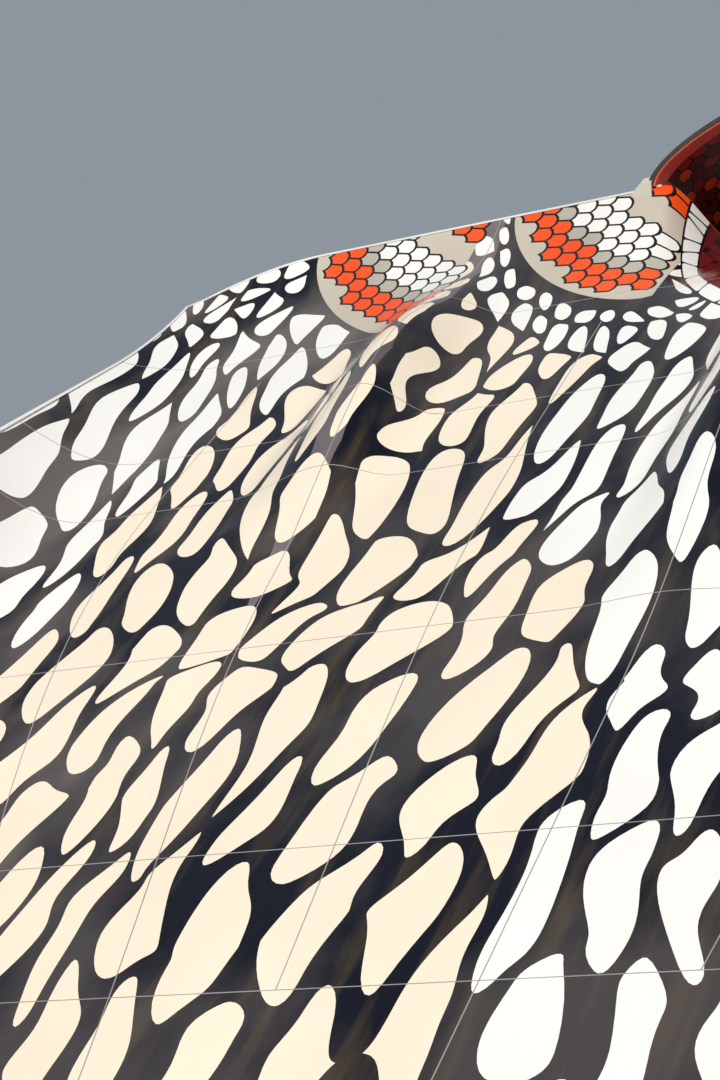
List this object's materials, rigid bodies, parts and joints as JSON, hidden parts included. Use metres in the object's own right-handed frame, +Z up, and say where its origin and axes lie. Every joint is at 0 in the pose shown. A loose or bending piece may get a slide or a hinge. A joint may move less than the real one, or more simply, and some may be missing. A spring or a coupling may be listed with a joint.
{
  "type": "open water slide drop with tube outlets",
  "caption": "Open fibreglass water slide drop: a wide fluted hood of bolted panels below a canopied outlet with enclosed tubes, a flat run-out, and steel beams and columns.",
  "frame": {"origin": "on the ground, under the middle of the whole object's box", "axes": "+Z up, +X to the right seen from the run-out, -Y the way the riders leave"},
  "size_m": [14.7056, 20.152, 12.8706],
  "materials": {
    "hood_gelcoat": "wet polished gelcoat, cream and white cells on a blue-black ground",
    "outlet_gelcoat": "polished white gelcoat with black veins",
    "tube_gelcoat": "plain off-white fibreglass",
    "canopy_gelcoat": "dark brown gelcoat outside, red inside",
    "inner_gelcoat": "dark red gelcoat with fish scale tiles",
    "steel": "hot-dip galvanised steel"
  },
  "bodies": {
    "root": {"runout_panel_left": "hood_gelcoat", "hood_transition_inner_left": "hood_gelcoat", "hood_transition_outer_left": "hood_gelcoat", "hood_lower_inner_left": "hood_gelcoat", "hood_lower_outer_left": "hood_gelcoat", "hood_middle_inner_left": "hood_gelcoat", "hood_middle_outer_left": "hood_gelcoat", "hood_upper_inner_left": "hood_gelcoat", "hood_upper_outer_left": "hood_gelcoat", "outlet_trough_left": "outlet_gelcoat", "tube_1_left": "tube_gelcoat", "tube_2_left": "tube_gelcoat", "beam_rim_left": "steel", "column_front_left": "steel", "column_lower_left": "steel", "column_middle_left": "steel", "column_upper_left": "steel", "column_rim_left": "steel", "column_portal_left": "steel", "column_tubes_left": "steel", "runout_panel_right": "hood_gelcoat", "hood_transition_inner_right": "hood_gelcoat", "hood_transition_outer_right": "hood_gelcoat", "hood_lower_inner_right": "hood_gelcoat", "hood_lower_outer_right": "hood_gelcoat", "hood_middle_inner_right": "hood_gelcoat", "hood_middle_outer_right": "hood_gelcoat", "hood_upper_inner_right": "hood_gelcoat", "hood_upper_outer_right": "hood_gelcoat", "outlet_trough_right": "outlet_gelcoat", "tube_1_right": "tube_gelcoat", "tube_2_right": "tube_gelcoat", "beam_rim_right": "steel", "column_front_right": "steel", "column_lower_right": "steel", "column_middle_right": "steel", "column_upper_right": "steel", "column_rim_right": "steel", "column_portal_right": "steel", "column_tubes_right": "steel", "outlet_canopy": "canopy_gelcoat", "outlet_bulkhead": "inner_gelcoat", "beam_front": "steel", "beam_lower": "steel", "beam_middle": "steel", "beam_upper": "steel", "beam_portal": "steel", "beam_tubes": "steel"}
  },
  "joints": []
}
